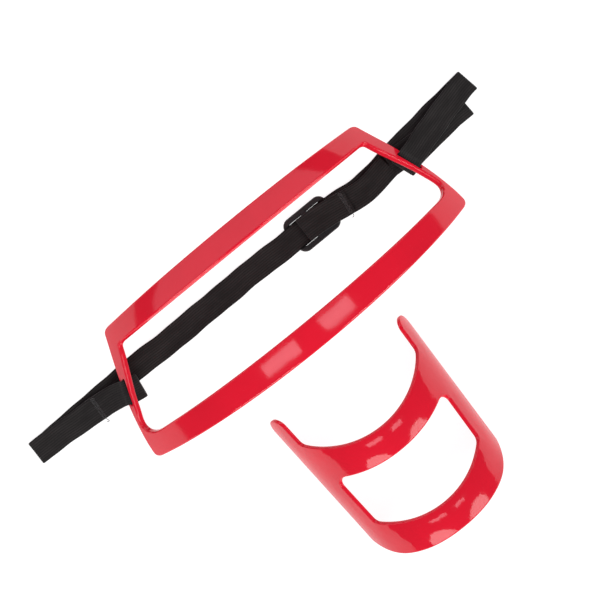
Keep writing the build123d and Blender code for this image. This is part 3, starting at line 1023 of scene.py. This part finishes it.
def sun(scene, name, direction, strength, angle):
    """A broad far light from a direction, its angle in degrees."""
    data = bpy.data.lights.new(name, "SUN")
    data.energy = strength
    data.angle = math.radians(angle)
    made = bpy.data.objects.new(name, data)
    vector = np.array(direction, float)
    yaw = math.atan2(vector[1], vector[0])
    tilt = math.atan2(math.hypot(vector[0], vector[1]), vector[2])
    made.rotation_euler = (0.0, tilt, yaw)
    scene.collection.objects.link(made)


def panel(scene, name, centre, size, radiance, aim, colour):
    """A soft rectangular light of that even brightness and colour at centre, facing aim."""
    data = bpy.data.lights.new(name, "AREA")
    data.shape = "RECTANGLE"
    data.size, data.size_y = size
    data.energy = radiance * math.pi * size[0] * size[1]
    data.color = colour
    made = bpy.data.objects.new(name, data)
    made.location = centre
    way = np.array(aim, float) - np.array(centre, float)
    tilt = math.atan2(way[1], -way[2])
    made.rotation_euler = (tilt, 0.0, 0.0)
    made.visible_camera = False
    scene.collection.objects.link(made)


def studio_light(scene):
    """Two small overhead strips, a large panel behind, a pair of broad front lights and a dim room."""
    panel(scene, "Left Strip", (-0.60, 0.085, 1.5), (0.66, 0.15), 3.4, (-0.60, 0.085, 0.0), STRIP_COLOUR)
    panel(scene, "Right Strip", (0.40, 0.085, 1.5), (0.52, 0.15), 3.4, (0.40, 0.085, 0.0), STRIP_COLOUR)
    panel(scene, "Back Panel", (0.0, 2.2, 1.6), (9.0, 1.5), 1.2, (0.0, 0.05, 0.0), PANEL_COLOUR)
    sun(scene, "Front Left", (-0.55, -0.55, 0.62), 1.7, 42)
    sun(scene, "Front Right", (0.55, -0.55, 0.62), 1.7, 42)
    world = bpy.data.worlds.new("Studio Room")
    scene.world = world
    world.use_nodes = True
    tree = world.node_tree
    tree.nodes.clear()
    dim = node(tree, "ShaderNodeBackground", Color=(0.16, 0.16, 0.165, 1.0), Strength=1.0)
    pale = node(tree, "ShaderNodeBackground", Color=(1.0, 1.0, 1.0, 1.0), Strength=1.0)
    seen = tree.nodes.new("ShaderNodeLightPath")
    mix = tree.nodes.new("ShaderNodeMixShader")
    output = tree.nodes.new("ShaderNodeOutputWorld")
    join(tree, seen.outputs["Is Camera Ray"], mix.inputs[0])
    join(tree, dim.outputs[0], mix.inputs[1])
    join(tree, pale.outputs[0], mix.inputs[2])
    join(tree, mix.outputs[0], output.inputs["Surface"])


class GUARD_PT_panel(bpy.types.Panel):
    """Sizes, colours and steps of the guard set"""

    bl_idname = "GUARD_PT_panel"
    bl_label = "Guard Set"
    bl_space_type = "VIEW_3D"
    bl_region_type = "UI"
    bl_category = "Guard Set"

    def draw(self, context):
        scene = context.scene
        for name in ("guard_plastic", "guard_elastic", "guard_thread", "guard_stage"):
            settings = getattr(scene, name)
            box = self.layout.box()
            for key in settings.bl_rna.properties.keys():
                if key not in ("rna_type", "name"):
                    box.prop(settings, key)
        for operator in STEPS:
            self.layout.operator(operator.bl_idname)


STEPS = (GUARD_OT_stage, GUARD_OT_shells, GUARD_OT_slider, GUARD_OT_elastic, GUARD_OT_seams)
GROUPS = {
    "guard_plastic": PlasticSettings,
    "guard_elastic": ElasticSettings,
    "guard_thread": ThreadSettings,
    "guard_stage": StageSettings,
}


def register():
    for name, made in GROUPS.items():
        bpy.utils.register_class(made)
        setattr(bpy.types.Scene, name, bpy.props.PointerProperty(type=made))
    for made in (*STEPS, GUARD_PT_panel):
        bpy.utils.register_class(made)


def unregister():
    for made in reversed((*STEPS, GUARD_PT_panel)):
        bpy.utils.unregister_class(made)
    for name, made in reversed(GROUPS.items()):
        delattr(bpy.types.Scene, name)
        bpy.utils.unregister_class(made)


def main():
    register()
    bpy.ops.guard.stage()
    bpy.ops.guard.shells()
    bpy.ops.guard.slider()
    bpy.ops.guard.elastic()
    bpy.ops.guard.seams()


if __name__ == "__main__":
    main()
